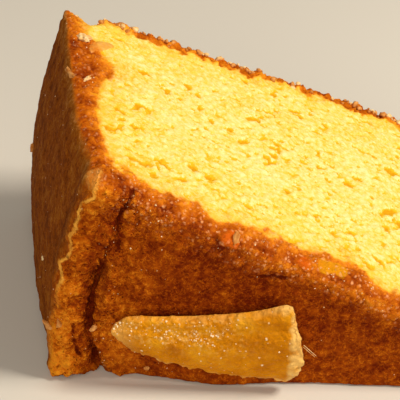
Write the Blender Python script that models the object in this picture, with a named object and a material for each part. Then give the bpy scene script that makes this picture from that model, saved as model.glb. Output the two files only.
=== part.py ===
"""A slice of orange cake lying on one of its cut faces, with candied peel stuck to the crust.

Metres, +Z up. The axis of the whole cake lies along Y at the thin end of the slice: the flat
baked base faces -Y, the domed top faces +Y and the outer wall faces -X. A place in the slice
is given by its radius from that axis, its turn up from the lower cut and its height in the
cake, measured from the baked base.
"""
import math
from typing import NamedTuple

import bmesh
import bpy
from mathutils import Vector, noise

MM = 0.001


class Swell(NamedTuple):
    """Smooth uneven relief: its height, the length of its waves and where they start."""

    height: float
    length: float
    start: float
    stretch: tuple = (1.0, 1.0, 1.0)

    def at(self, place):
        spot = Vector(place[i] / (self.length * self.stretch[i]) for i in range(3))
        return self.height * noise.noise(spot + Vector((1.0, 1.7, -1.0)) * self.start)


# The whole cake that the slice was cut from
BASE_RADIUS = 107.8 * MM
WALL_FLARE = 12.7 * MM
WALL_BULGE = 1.1 * MM
RIM_HEIGHT = 54.7 * MM
CENTRE_HEIGHT = 73 * MM
DOME_POWER = 1.35
SLICE_ANGLE = math.radians(24.7)

# How far the edges of each face are rounded
ROUND_WALL_AT_BASE = 2.8 * MM
ROUND_WALL_AT_TOP = 1.4 * MM
ROUND_BASE_ABOVE = 3.2 * MM
ROUND_BASE_BELOW = 0.5 * MM
ROUND_TOP = 1.3 * MM
ROUND_UPPER_CUT_AT_BASE = 3.4 * MM
ROUND_UPPER_CUT_AT_TOP = 1.2 * MM
ROUND_LOWER_CUT = 0.5 * MM
ROUND_FOOT = 1.7 * MM
FOOT_REACH = 8 * MM
MOST_ROUNDING = 0.34  # of the slice's thickness, where it runs thin

# The folds that the baking paper pressed into the base, near its rim
FOLD_DEPTH = 3.0 * MM
FOLD_WIDTH = 1.5 * MM
FOLD_WIDTH_AT_FOOT = 1.8 * MM
FOLD_RADIUS = 101.2 * MM
FOLD_RADIUS_AT_FOOT = 98.9 * MM
FOLD_WANDER = Swell(0.9 * MM, 7 * MM, 5.0)
SECOND_FOLD_DEPTH = 1.1 * MM
SECOND_FOLD_WIDTH = 1.2 * MM
SECOND_FOLD_RADIUS_LOW = 95.4 * MM
SECOND_FOLD_RADIUS_HIGH = 101.0 * MM
PLEAT_HEIGHT = 0.8 * MM
PLEAT_WIDTH = 1.6 * MM

# Where the foot of the base draws in beside the folds and stands out further along
FOOT_HOLLOW_DEPTH = 1.1 * MM
FOOT_HOLLOW_RADIUS = 92.5 * MM
FOOT_HOLLOW_WIDTH = 6 * MM
FOOT_BULGE_HEIGHT = 1.2 * MM
FOOT_BULGE_RADIUS = 76.5 * MM
FOOT_BULGE_WIDTH = 8 * MM

# The welt beyond the folds, the lip round the foot of the wall and the flap at the corner
WELT_HEIGHT = 0.9 * MM
WELT_WAVE = Swell(0.45 * MM, 5 * MM, 9.0)
LIP_HEIGHT = 0.7 * MM
LIP_REACH = 3.6 * MM
LIP_CRINKLE = Swell(0.42 * MM, 3.2 * MM, 12.0)
HOLLOW_DEPTH = 0.5 * MM
CORNER_LUMP_HEIGHT = 1.4 * MM
CORNER_LUMP_SIZE = 4.5 * MM

# The broken crown where the top crust meets the upper cut
CHIP_RADIUS = 115.2 * MM
CHIP_WIDTH = 2.3 * MM
CHIP_DEPTH = 3.2 * MM
CRAG_RADIUS = 110.2 * MM
CRAG_WIDTH = 2.2 * MM
CRAG_HEIGHT = 1.6 * MM
TIP_RISE = 0.8 * MM
CROWN_RAG = Swell(1.0 * MM, 5 * MM, 3.1)
CROWN_REACH = 7 * MM

# Uneven baking and cutting, which dies away at the thin end
BASE_SWELL = Swell(0.45 * MM, 13 * MM, 1.0)
WALL_SWELL = Swell(0.45 * MM, 9 * MM, 15.0, (1.6, 0.7, 1.6))
TOP_SWELL = Swell(0.8 * MM, 8 * MM, 27.0)
CUT_SWELL = Swell(0.35 * MM, 14 * MM, 21.0)
EDGE_CRUMBLE = Swell(1.2 * MM, 4 * MM, 33.0)
RELIEF_REACH = 7 * MM
CALM_TIP = (5 * MM, 18 * MM)

# The strip of candied peel on the base crust
PEEL_LEFT = -95.9 * MM
PEEL_RIGHT = -61.4 * MM
PEEL_CENTRE_LEFT = 14.05 * MM
PEEL_CENTRE_SLOPE = -9.6 * MM
PEEL_CENTRE_CURVE = 7.4 * MM
PEEL_HALF_WIDTH_LEFT = 2.95 * MM
PEEL_HALF_WIDTH_GAIN = 6.3 * MM
PEEL_THICKNESS = 2.6 * MM
PEEL_THIN_END = 2.0 * MM
PEEL_BOW = 0.9 * MM
PEEL_END_LEAN = 2.0 * MM
PEEL_CORNER_CUT = 3.0 * MM
PEEL_TIP_SHARE = 0.11
PEEL_END_ROUND = 0.04
PEEL_GAP = 0.3 * MM
PEEL_BED_MARGIN = 3 * MM
PEEL_RINGS = 26
PEEL_SIDES = 20

# Where the slice's mesh has its lines: runs of (how far in mm, how many lines)
LINES_ALONG = [(9, 1), (27, 4), (44, 10), (20, 8), (13, 8), (3.2, 3)]
LINES_AROUND = [(1.8, 2), (41.2, 14), (3.6, 3)]
LINES_UP = [(3.2, 3), (46, 15), (4, 2), (1.3, 2)]
LEVEL = 0.001 * MM

SPONGE_COLOUR = (0.75, 0.36, 0.06)
PEEL_COLOUR = (0.62, 0.27, 0.03)


def smooth(start, end, value):
    """0 before start, 1 after end, and an even rise between them."""
    share = min(1.0, max(0.0, (value - start) / (end - start)))
    return share * share * (3.0 - 2.0 * share)


def blend(first, last, share):
    return first + (last - first) * share


def ridge(offset, width):
    """A rounded ridge of height 1."""
    return math.exp(-((offset / width) ** 2))


def wall_radius(height):
    """The cake widens from its base to its rim, with a slight belly."""
    share = min(1.0, max(0.0, height / RIM_HEIGHT))
    return BASE_RADIUS + WALL_FLARE * share + WALL_BULGE * math.sin(math.pi * share)


TOP_RADIUS = wall_radius(RIM_HEIGHT)


def crown(radius, turn):
    """How far the top crust stands off the dome, where the knife broke it."""
    near_cut = 1.0 - smooth(0.0, CROWN_REACH, (SLICE_ANGLE - turn) * radius)
    chip = -CHIP_DEPTH * ridge(radius - CHIP_RADIUS, CHIP_WIDTH)
    crag = CRAG_HEIGHT * ridge(radius - CRAG_RADIUS, CRAG_WIDTH)
    tip = TIP_RISE * smooth(CHIP_RADIUS + CHIP_WIDTH, TOP_RADIUS, radius)
    rag = CROWN_RAG.at((radius, turn * radius, 0.0)) * smooth(*CALM_TIP, radius)
    return near_cut * (chip + crag + tip + rag)


def top_height(radius, turn):
    share = min(1.0, radius / TOP_RADIUS)
    dome = (CENTRE_HEIGHT - RIM_HEIGHT) * (1.0 - share**DOME_POWER)
    return RIM_HEIGHT + dome + crown(radius, turn)


def directions(turn):
    """Unit vectors away from the cake's axis and square to the cut, at that turn."""
    outward = Vector((-math.cos(turn), 0.0, math.sin(turn)))
    upward = Vector((math.sin(turn), 0.0, math.cos(turn)))
    return outward, upward


def place_of(radius, turn, height):
    return directions(turn)[0] * radius + Vector((0.0, height, 0.0))


def peel_line(share):
    """The strip's middle height and half width, from its left tip (0) to its right end (1)."""
    centre = PEEL_CENTRE_LEFT + PEEL_CENTRE_SLOPE * share + PEEL_CENTRE_CURVE * share**2
    return centre, PEEL_HALF_WIDTH_LEFT + PEEL_HALF_WIDTH_GAIN * share**0.8


def peel_bed(place):
    """1 where the peel lies on the base crust, fading to 0 round it."""
    share = (place.x - PEEL_LEFT) / (PEEL_RIGHT - PEEL_LEFT)
    centre, half_width = peel_line(min(1.0, max(0.0, share)))
    past_side = abs(place.z - centre) - half_width
    past_end = max(PEEL_LEFT - place.x, place.x - PEEL_RIGHT)
    return 1.0 - smooth(0.0, PEEL_BED_MARGIN, max(past_side, past_end, 0.0))


def base_relief(radius, turn, place):
    """How far the base stands out: the paper's folds, the welt beyond them and the swell."""
    rise = turn / SLICE_ANGLE
    above_foot = smooth(0.0, 0.25, rise)
    off_line = radius - FOLD_WANDER.at(place)
    fold_radius = blend(FOLD_RADIUS_AT_FOOT, FOLD_RADIUS, above_foot)
    fold_width = blend(FOLD_WIDTH_AT_FOOT, FOLD_WIDTH, above_foot)
    deep_and_shallow = 0.7 + 0.3 * math.cos(3.4 * math.pi * rise)
    open_below_cut = 1.0 - 0.8 * smooth(0.82, 1.0, rise)
    fold = FOLD_DEPTH * deep_and_shallow * open_below_cut * ridge(off_line - fold_radius, fold_width)
    second_radius = blend(SECOND_FOLD_RADIUS_LOW, SECOND_FOLD_RADIUS_HIGH, smooth(0.3, 1.0, rise))
    second = SECOND_FOLD_DEPTH * ridge(off_line - second_radius, SECOND_FOLD_WIDTH)
    pleat = PLEAT_HEIGHT * ridge(radius - (FOLD_RADIUS + second_radius) / 2, PLEAT_WIDTH)
    second *= smooth(0.2, 0.45, rise)
    pleat *= smooth(0.3, 0.5, rise) * (1.0 - smooth(0.75, 0.95, rise))
    beyond = smooth(FOLD_RADIUS + 0.5 * MM, FOLD_RADIUS + 3.5 * MM, radius)
    welt = beyond * (WELT_HEIGHT + WELT_WAVE.at(place))
    bulge = FOOT_BULGE_HEIGHT * ridge(radius - FOOT_BULGE_RADIUS, FOOT_BULGE_WIDTH)
    hollow = FOOT_HOLLOW_DEPTH * ridge(radius - FOOT_HOLLOW_RADIUS, FOOT_HOLLOW_WIDTH)
    swell = BASE_SWELL.at(place) + (bulge - hollow) * (1.0 - above_foot)
    return welt + pleat + swell * (1.0 - peel_bed(place)) - fold - second


def wall_relief(height, place):
    """How far the wall stands out: the crinkled lip at its foot, a hollow and the swell."""
    at_lip = 1.0 - smooth(0.6 * LIP_REACH, 1.3 * LIP_REACH, height)
    lip = at_lip * (LIP_HEIGHT + LIP_CRINKLE.at(place))
    hollow = HOLLOW_DEPTH * ridge(height - 2.0 * LIP_REACH, LIP_REACH)
    return lip - hollow + WALL_SWELL.at(place) * smooth(LIP_REACH, 3.0 * LIP_REACH, height)


def corner_lump(place):
    """The soft flap at the near upper corner, where base, wall and cut meet."""
    corner = place_of(BASE_RADIUS - 1.5 * MM, SLICE_ANGLE, 0.5 * MM)
    return CORNER_LUMP_HEIGHT * ridge((place - corner).length, CORNER_LUMP_SIZE)


def baked(radius, turn, height):
    """A place of the even slice, moved to where the uneven baking and cutting left it.

    Each face's relief fades away inside the slice, so that its edges move with it.
    """
    place = place_of(radius, turn, height)
    outward, upward = directions(turn)
    near_base = 1.0 - smooth(0.0, RELIEF_REACH, height)
    near_top = 1.0 - smooth(0.0, RELIEF_REACH, top_height(radius, turn) - height)
    near_wall = 1.0 - smooth(0.0, RELIEF_REACH, wall_radius(height) - radius)
    near_cut = (turn / SLICE_ANGLE) ** 2
    move = outward * near_wall * wall_relief(height, place)
    move += upward * near_cut * CUT_SWELL.at(place)
    move.y += near_top * TOP_SWELL.at(place) - near_base * base_relief(radius, turn, place)
    return place + move * smooth(*CALM_TIP, radius)


def rounded(along, around, up):
    """Radius, turn and height of a point of a unit cube's surface in the even slice.

    along runs from the cake's axis to its wall, around from the lower cut to the upper one
    and up from the baked base to the top. The last value is the way out of the slice there:
    how much of it points at the wall, at the upper cut and at the top.
    """
    turn = around * SLICE_ANGLE
    height = up * RIM_HEIGHT
    for _ in range(3):
        radius = along * wall_radius(height)
        height = up * top_height(radius, turn)
    top = top_height(radius, turn)
    wall = wall_radius(height)
    thickness = SLICE_ANGLE * radius
    most = max(MOST_ROUNDING * thickness, LEVEL)
    at_foot = smooth(BASE_RADIUS - FOOT_REACH, BASE_RADIUS - FOOT_REACH / 2, radius)
    wall_round = blend(ROUND_WALL_AT_BASE, ROUND_WALL_AT_TOP, up)
    upper_round = min(most, blend(ROUND_UPPER_CUT_AT_BASE, ROUND_UPPER_CUT_AT_TOP, up))
    lower_round = min(most, blend(ROUND_LOWER_CUT, ROUND_FOOT, at_foot))
    top_round = min(2.0 * most, ROUND_TOP)
    base_round = min(2.0 * most, blend(ROUND_BASE_BELOW, ROUND_BASE_ABOVE, max(around, at_foot)))
    to_wall = max(0.0, 1.0 - (wall - radius) / wall_round)
    to_upper = max(0.0, 1.0 - (1.0 - around) * thickness / upper_round)
    to_lower = max(0.0, 1.0 - around * thickness / lower_round)
    to_top = max(0.0, 1.0 - (top - height) / top_round)
    to_base = max(0.0, 1.0 - height / base_round)
    way = Vector((to_wall, to_upper - to_lower, to_top - to_base))
    way = way / max(1.0, way.length)
    if to_wall > 0.0:
        radius = wall - wall_round * (1.0 - way.x)
    if to_upper > 0.0 and thickness > 0.0:
        turn = SLICE_ANGLE * (1.0 - upper_round * (1.0 - way.y) / thickness)
    if to_lower > 0.0 and thickness > 0.0:
        turn = SLICE_ANGLE * lower_round * (1.0 + way.y) / thickness
    if to_top > 0.0:
        height = top - top_round * (1.0 - way.z)
    if to_base > 0.0:
        height = base_round * (1.0 + way.z)
    return radius, turn, height, way


def slice_point(along, around, up):
    """The slice's surface at a point of a unit cube's surface."""
    radius, turn, height, way = rounded(along, around, up)
    place = baked(radius, turn, height)
    outward, upward = directions(turn)
    out = outward * way.x + upward * way.y + Vector((0.0, way.z, 0.0))
    on_edge = 1.0 - max(abs(share) for share in way)
    crumble = on_edge * around * EDGE_CRUMBLE.at(place) * smooth(*CALM_TIP, radius)
    place += out.normalized() * (crumble + corner_lump(place))
    place.z = max(0.0, place.z)
    return place


def lines(runs):
    """Shares from 0 to 1 of a length that is laid out in runs of (how far, how many)."""
    marks = [0.0]
    for distance, count in runs:
        start = marks[-1]
        marks += [start + distance * (i + 1) / count for i in range(count)]
    return [mark / marks[-1] for mark in marks]


def cake_slice(name):
    """A closed mesh over a unit cube's surface, each corner moved onto the slice.

    The cube's near side, where along is 0, closes up to the slice's thin edge.
    """
    shares = [lines(runs) for runs in (LINES_ALONG, LINES_AROUND, LINES_UP)]
    last = [len(marks) - 1 for marks in shares]
    mesh = bmesh.new()
    corners = {}

    def corner(i, j, k):
        spot = (i, j if i else 0, k)
        if spot not in corners:
            where = (marks[n] for marks, n in zip(shares, spot))
            corners[spot] = mesh.verts.new(slice_point(*where))
        return corners[spot]

    def faces(side, value):
        """Covers the cube's side on which the index numbered side has that value."""
        first, second = (n for n in range(3) if n != side)
        for i in range(last[first]):
            for j in range(last[second]):
                found = []
                for step in ((0, 0), (1, 0), (1, 1), (0, 1)):
                    spot = [value] * 3
                    spot[first] = i + step[0]
                    spot[second] = j + step[1]
                    vertex = corner(*spot)
                    if vertex not in found:
                        found.append(vertex)
                if len(found) > 2:
                    mesh.faces.new(found)

    faces(0, last[0])
    for side in (1, 2):
        faces(side, 0)
        faces(side, last[side])
    resting = [face for face in mesh.faces if all(v.co.z < LEVEL for v in face.verts)]
    bmesh.ops.dissolve_faces(mesh, faces=resting, use_verts=True)
    return finished(name, mesh)


def peel_section(share):
    """One closed ring of the strip, from its left tip (0) to its blunt right end (1)."""
    centre, half_width = peel_line(share)
    tip = 1.0 - (1.0 - min(1.0, share / PEEL_TIP_SHARE)) ** 1.4
    inside_end = 1.0 - smooth(1.0 - PEEL_END_ROUND, 1.0, share)
    half_width *= blend(0.12, 1.0, tip**0.7) * blend(0.93, 1.0, inside_end)
    thickness = blend(PEEL_THIN_END, PEEL_THICKNESS, smooth(0.0, 0.5, share))
    thickness *= blend(0.4, 1.0, math.sqrt(tip)) * blend(0.7, 1.0, inside_end)
    middle = -PEEL_GAP - PEEL_THICKNESS / 2
    lean = PEEL_END_LEAN * smooth(0.7, 1.0, share)
    corner = PEEL_CORNER_CUT * smooth(0.85, 1.0, share)
    ring = []
    for i in range(PEEL_SIDES):
        angle = 2 * math.pi * i / PEEL_SIDES
        across = math.copysign(abs(math.cos(angle)) ** 0.6, math.cos(angle))
        out = math.copysign(abs(math.sin(angle)) ** 0.75, math.sin(angle))
        x = blend(PEEL_LEFT, PEEL_RIGHT, share) - lean * across - corner * smooth(0.35, 1.0, -across)
        y = middle - out * thickness / 2 - PEEL_BOW * (1.0 - across**2)
        ring.append(Vector((x, y, centre + half_width * across)))
    return ring


def candied_peel(name):
    mesh = bmesh.new()
    rings = []
    for i in range(PEEL_RINGS + 1):
        share = (1.0 - math.cos(math.pi * i / PEEL_RINGS)) / 2
        rings.append([mesh.verts.new(spot) for spot in peel_section(share)])
    for first, second in zip(rings, rings[1:]):
        for i in range(PEEL_SIDES):
            j = (i + 1) % PEEL_SIDES
            mesh.faces.new((first[i], first[j], second[j], second[i]))
    mesh.faces.new(rings[0])
    mesh.faces.new(rings[-1])
    return finished(name, mesh)


def finished(name, mesh):
    """The object of a mesh, in triangles that face outward, shaded smooth."""
    bmesh.ops.recalc_face_normals(mesh, faces=mesh.faces)
    bmesh.ops.triangulate(mesh, faces=mesh.faces)
    data = bpy.data.meshes.new(name)
    mesh.to_mesh(data)
    mesh.free()
    data.shade_smooth()
    thing = bpy.data.objects.new(name, data)
    bpy.context.collection.objects.link(thing)
    return thing


def paint(thing, name, colour, roughness):
    """Gives the object its own plain material."""
    material = bpy.data.materials.new(name)
    material.use_nodes = True
    shader = material.node_tree.nodes["Principled BSDF"]
    shader.inputs["Base Color"].default_value = (*colour, 1.0)
    shader.inputs["Roughness"].default_value = roughness
    shader.inputs["Metallic"].default_value = 0.0
    thing.data.materials.append(material)


def centre(things):
    """Moves the pieces together, so that the middle of their box stands over the origin."""
    spots = [vertex.co for thing in things for vertex in thing.data.vertices]
    middle = [(min(s[i] for s in spots) + max(s[i] for s in spots)) / 2 for i in range(2)]
    shift = Vector((-middle[0], -middle[1], 0.0))
    for thing in things:
        for vertex in thing.data.vertices:
            vertex.co += shift


for old in list(bpy.data.objects):
    bpy.data.objects.remove(old, do_unlink=True)

cake = cake_slice("cake_slice")
paint(cake, "baked sponge", SPONGE_COLOUR, 0.75)
peel = candied_peel("candied_peel")
paint(peel, "candied orange peel", PEEL_COLOUR, 0.35)
centre([cake, peel])
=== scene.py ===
"""Looks for the slice of orange cake: crumb, browned crust, candied peel, sugar and the stage.

Laid out as an add-on and run as a script. Sizes are in metres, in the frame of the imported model:
the flat baked base faces -Y, the outer wall -X, the domed top +Y and the upper cut face +Z.
"""
import math
import random
from typing import NamedTuple

import bmesh
import bpy
from mathutils import Matrix, Vector, geometry, noise
from mathutils.bvhtree import BVHTree


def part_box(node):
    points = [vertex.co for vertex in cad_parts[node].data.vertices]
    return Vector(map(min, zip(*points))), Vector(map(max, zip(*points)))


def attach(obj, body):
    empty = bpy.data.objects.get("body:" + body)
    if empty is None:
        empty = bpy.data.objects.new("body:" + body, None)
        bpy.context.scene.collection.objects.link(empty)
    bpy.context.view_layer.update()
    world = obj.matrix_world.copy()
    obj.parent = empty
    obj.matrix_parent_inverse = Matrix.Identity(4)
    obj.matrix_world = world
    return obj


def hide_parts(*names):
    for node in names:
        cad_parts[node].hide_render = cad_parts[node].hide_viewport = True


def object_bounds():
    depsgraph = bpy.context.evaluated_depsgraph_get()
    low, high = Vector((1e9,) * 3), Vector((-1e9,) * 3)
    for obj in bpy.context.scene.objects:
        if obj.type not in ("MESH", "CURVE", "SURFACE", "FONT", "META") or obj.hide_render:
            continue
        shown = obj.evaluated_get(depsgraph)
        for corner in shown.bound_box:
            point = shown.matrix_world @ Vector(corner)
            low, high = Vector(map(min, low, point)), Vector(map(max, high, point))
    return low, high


bl_info = {
    "name": "Orange cake slice",
    "version": (1, 0, 0),
    "blender": (4, 5, 0),
    "location": "3D View > Sidebar > Cake",
    "description": "Dresses the slice of orange cake with crumb, crust, candied peel and sugar",
    "category": "Add Mesh",
}

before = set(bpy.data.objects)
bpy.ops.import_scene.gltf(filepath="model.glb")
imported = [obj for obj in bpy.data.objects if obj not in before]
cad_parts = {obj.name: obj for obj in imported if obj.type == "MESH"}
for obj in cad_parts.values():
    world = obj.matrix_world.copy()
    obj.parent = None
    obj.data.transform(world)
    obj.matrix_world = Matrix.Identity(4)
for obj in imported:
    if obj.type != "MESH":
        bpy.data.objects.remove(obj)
CAD_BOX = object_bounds()

MM = 0.001

# The cake's own measures, as its solid has them
SLICE_LOW, SLICE_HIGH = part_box("cake_slice")
PEEL_LOW, PEEL_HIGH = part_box("candied_peel")
CENTRE_HEIGHT = 73 * MM
RIM_HEIGHT = 54.7 * MM
BASE_RADIUS = 107.8 * MM
WALL_FLARE = 12.7 * MM
WALL_BULGE = 1.1 * MM
DOME_POWER = 1.35
SLICE_ANGLE = math.radians(24.7)
AXIS_X = SLICE_HIGH.x
BASE_Y = SLICE_HIGH.y - CENTRE_HEIGHT

# Where the paper's folds run in the base, and how much sharper they are than in the solid
FOLD_RADIUS = 101.2 * MM
FOLD_RADIUS_AT_FOOT = 98.9 * MM
FOLD_WANDER = (0.9 * MM, 7 * MM, 5.0)
SECOND_FOLD_RADII = (95.4 * MM, 101.0 * MM)
CREASE_WOBBLE = 0.5 * MM
CREASE_DEPTH = 1.9 * MM
CREASE_WIDTH = 0.75 * MM
SECOND_CREASE_DEPTH = 1.1 * MM
SECOND_CREASE_WIDTH = 0.45 * MM

# The half-moon of skin on the cut: radius and height, the way it runs (in, up), half its size
# and the turn from which up it may lie; and the flap at the top of the lip: radius and turn, where
# its edge fades and how high it reaches; lengths in mm and turns in degrees
HALF_MOON = (111.7, 44.4)
HALF_MOON_RUN = (0.6, 0.8)
HALF_MOON_SIZE = (3.7, 1.4)
HALF_MOON_TURN = 22.0
CORNER_FLAP = (108.1, 25.0)
CORNER_FLAP_EDGE = (0.8, 2.6)
CORNER_FLAP_TOP = (1.5 * MM, 4 * MM)

# The short cracks in the base below its syrupy edge and the crease low on the welt, as radii and
# turns in degrees, how they wander and how far off they still count; the amber lumps soaked with
# syrup along that edge, as radius, turn, height and size, where those further out than AMBER_RED
# are redder; lengths in mm
CRACKS = (
    ((73.6, 20.4), (71.7, 21.1)),
    ((71.7, 21.1), (69.6, 21.3)),
    ((66.9, 24.2), (66.3, 22.9)),
    ((104.2, 8.0), (103.9, 5.7)),
    ((103.9, 5.7), (102.9, 3.6)),
    ((102.9, 3.6), (101.4, 2.5)),
)
CRACK_WANDER = (0.4 * MM, 1.3 * MM, 71.0)
CRACK_REACH = 5 * MM
AMBER_RED = (63.5, 67.5)
AMBER_LUMPS = (
    (82.0, 24.2, 0.0, 2.4),
    (67.2, 24.7, 1.6, 2.2),
    (63.4, 24.7, 2.8, 2.3),
    (60.6, 24.7, 3.4, 2.2),
)

# The strip of peel's middle height and half width along its length, as its solid has them
PEEL_LEFT = PEEL_LOW.x
PEEL_RIGHT = PEEL_LEFT + 34.5 * MM
PEEL_CENTRE = (14.05 * MM, -9.6 * MM, 7.4 * MM)
PEEL_HALF_WIDTH = (2.95 * MM, 6.3 * MM)

# The photographed view
CAMERA_PLACE = Vector((-12.36, -200.22, 157.93)) * MM
CAMERA_PITCH = math.radians(35)
CAMERA_TURN = math.asin(0.0453)
CAMERA_LENS = 108
CAMERA_SENSOR = 36

# The floor and the light: each softbox's place, size and power, aimed at the slice's middle
FLOOR_HALF = 1.5
LIT_SPOT = Vector((0.0, 0.0, 0.02))
KEY_SOFTBOX = (Vector((0.4, -0.06, 0.55)), 0.18, 4.15)
FILL_SOFTBOX = (Vector((-0.1, -0.7, 0.5)), 0.6, 3.0)
SOFTBOX_COLOUR = "#FFF4E4"
ROOM_COLOUR = "#FFF4E6"
ROOM_LIGHT = 0.22


def smooth(start, end, value):
    """0 before start, 1 past end, and an even rise between them; start may be the larger."""
    share = min(1.0, max(0.0, (value - start) / (end - start)))
    return share * share * (3.0 - 2.0 * share)


def blend(first, last, share):
    return first + (last - first) * share


def ridge(offset, width):
    """A rounded ridge of height 1."""
    return math.exp(-((offset / width) ** 2))


def linear(code):
    """An sRGB hex colour as linear red, green, blue and alpha."""
    parts = [int(code[i : i + 2], 16) / 255 for i in (1, 3, 5)]
    return (*(p / 12.92 if p <= 0.04045 else ((p + 0.055) / 1.055) ** 2.4 for p in parts), 1.0)


def per(size):
    """The scale that makes a texture's pattern repeat about once in that length."""
    return 1.0 / size


def add(tree, kind, inputs=(), stops=(), output=0, **settings):
    """Adds a node and gives one of its outputs.

    inputs gives the sockets values or other nodes' outputs, by name or in their order, and stops
    gives a ramp's places and colours.
    """
    made = tree.nodes.new("ShaderNode" + kind)
    for name, value in settings.items():
        setattr(made, name, value)
    for socket, value in inputs.items() if isinstance(inputs, dict) else enumerate(inputs):
        if isinstance(value, bpy.types.NodeSocket):
            tree.links.new(value, made.inputs[socket])
        else:
            made.inputs[socket].default_value = value
    for i, (place, colour) in enumerate(stops):
        points = made.color_ramp.elements
        point = points[i] if i < 2 else points.new(place)
        point.position = place
        point.color = linear(colour)
    return made.outputs[output]


def new_material(name):
    """An empty material with its tree and Principled shader."""
    material = bpy.data.materials.new(name)
    material.use_nodes = True
    return material, material.node_tree, material.node_tree.nodes["Principled BSDF"]


def wall_radius(height):
    share = min(1.0, max(0.0, height / RIM_HEIGHT))
    return BASE_RADIUS + WALL_FLARE * share + WALL_BULGE * math.sin(math.pi * share)


TOP_RADIUS = wall_radius(RIM_HEIGHT)


def top_height(radius):
    share = min(1.0, radius / TOP_RADIUS)
    return RIM_HEIGHT + (CENTRE_HEIGHT - RIM_HEIGHT) * (1.0 - share**DOME_POWER)


def cake_spot(place):
    """Radius from the cake's axis, turn up from the lower cut and height above the base."""
    across = AXIS_X - place.x
    return math.hypot(across, place.z), math.atan2(place.z, across), place.y - BASE_Y


def cake_place(radius, turn, height):
    return Vector((AXIS_X - radius * math.cos(turn), BASE_Y + height, radius * math.sin(turn)))


def away_from_axis(turn):
    """The unit vector away from the cake's axis at that turn."""
    return Vector((-math.cos(turn), 0.0, math.sin(turn)))


def square_to_cut(turn):
    """The unit vector up and square to a cut at that turn."""
    return Vector((math.sin(turn), 0.0, math.cos(turn)))


def below_cut(radius, turn):
    """How far a place is below the upper cut."""
    return (SLICE_ANGLE - turn) * radius


def kept_inside(place, low, high):
    """The place, or the nearest one inside the box."""
    return Vector([min(high[i], max(low[i], place[i])) for i in range(3)])


def wavy(place, length, start=0.0):
    """Even noise from about -1 to 1 with waves of that length; each start is its own pattern."""
    return noise.noise(place / length + Vector((start, 1.7 * start, -start)))


def skin_flap(radius, turn, height):
    """1 on the half-moon of thin pale skin on the upper cut and on the flap at the lip's top."""
    out, up = HALF_MOON[0] - radius / MM, height / MM - HALF_MOON[1]
    along = HALF_MOON_RUN[0] * out + HALF_MOON_RUN[1] * up
    across = HALF_MOON_RUN[1] * out - HALF_MOON_RUN[0] * up - 0.05 * along * along + 0.4
    shape = math.hypot(along / HALF_MOON_SIZE[0], across / HALF_MOON_SIZE[1])
    upper = math.degrees(turn) > HALF_MOON_TURN
    corner = math.hypot(radius / MM - CORNER_FLAP[0], 1.9 * (math.degrees(turn) - CORNER_FLAP[1]))
    corner = (1.0 - smooth(*CORNER_FLAP_EDGE, corner)) * (1.0 - smooth(*CORNER_FLAP_TOP, height))
    return max((1.0 - smooth(0.85, 1.05, shape)) * upper, 0.95 * corner)


def crack_distance(place):
    """How far the place is from the nearest of the short cracks in the base."""
    wander = Vector((0.0, 0.0, CRACK_WANDER[0] * wavy(place, *CRACK_WANDER[1:])))
    nearest = CRACK_REACH
    for (radius, turn), (to_radius, to_turn) in CRACKS:
        start = cake_place(radius * MM, math.radians(turn), 0.0)
        end = cake_place(to_radius * MM, math.radians(to_turn), 0.0)
        along = geometry.intersect_point_line(place, start, end)[1]
        closest = start.lerp(end, min(1.0, max(0.0, along)))
        nearest = min(nearest, (place + wander - closest).length)
    return nearest


def amber_share(place):
    """1 on the lumps that the syrup has soaked through, 0 away from them."""
    share = 0.0
    for radius, turn, height, size in AMBER_LUMPS:
        lump = cake_place(radius * MM, math.radians(turn), height * MM)
        off = (place - lump).length * (1.0 + 0.5 * wavy(place, 1.6 * MM, 72.0))
        share = max(share, 1.0 - smooth(0.55 * size * MM, size * MM, off))
    return share


def granules(place, size, start=0.0):
    """Rounded grains of that size packed together: 1 on their tops, 0 between them."""
    near, far = noise.voronoi(place / size + Vector((start, -start, start)))[0][:2]
    return min(1.0, 1.4 * (far - near))


def lumps(place, size, start):
    """Lumps of that size with crooked gaps between them: 1 on their tops, 0 in the gaps."""
    # Not noise.noise_vector, which differs from run to run
    swirl = [wavy(place, size, start + shift) for shift in (3.0, 90.0, 177.0)]
    return granules(place + Vector(swirl) * 0.3 * size, size, start)


def fold_lines(place):
    """How far the place is from the first and the second fold, and how open each is there."""
    radius, turn, _ = cake_spot(place)
    rise = turn / SLICE_ANGLE
    in_cake = Vector((place.x - AXIS_X, place.y - BASE_Y, place.z))
    wander = FOLD_WANDER[0] * wavy(in_cake, *FOLD_WANDER[1:])
    wander += CREASE_WOBBLE * wavy(place, 2.2 * MM, 31.0)
    first = blend(FOLD_RADIUS_AT_FOOT, FOLD_RADIUS, smooth(0.0, 0.25, rise))
    second = blend(*SECOND_FOLD_RADII, smooth(0.3, 1.0, rise))
    uneven = 0.65 + 0.6 * wavy(place, 3.5 * MM, 32.0)
    first_open = uneven * (1.0 - 0.9 * smooth(0.6, 0.7, rise))
    second_open = uneven * (0.15 * smooth(0.25, 0.5, rise) + 0.85 * smooth(0.7, 0.78, rise))
    return (radius - wander - first, first_open), (radius - wander - second, second_open)


# How deep the browning reaches in from each crust, seen on the cut; and where it is wider and
# narrower: by how much, at which radius or height and over what width, in mm
BASE_BAND = 5.0 * MM
WALL_BAND = 5.2 * MM
TOP_BAND = 2.8 * MM
BASE_BAND_WIDE = ((2.6, 103, 3), (1.7, 61, 5))
BASE_BAND_NARROW = ((1.7, 85, 2.4), (1.9, 50, 4.5))
WALL_BAND_BLOTCHES = ((4.0, 37.5, 5.5), (-1.2, 18, 6))


def swells(spot, parts):
    """How much wider, in mm, the swells at those places make a band at this one."""
    return sum(much * ridge(spot - at * MM, width * MM) for much, at, width in parts)


def base_band(radius):
    """The browned band on the cut above the base, wide and narrow in turns."""
    return BASE_BAND + (swells(radius, BASE_BAND_WIDE) - swells(radius, BASE_BAND_NARROW)) * MM


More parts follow.
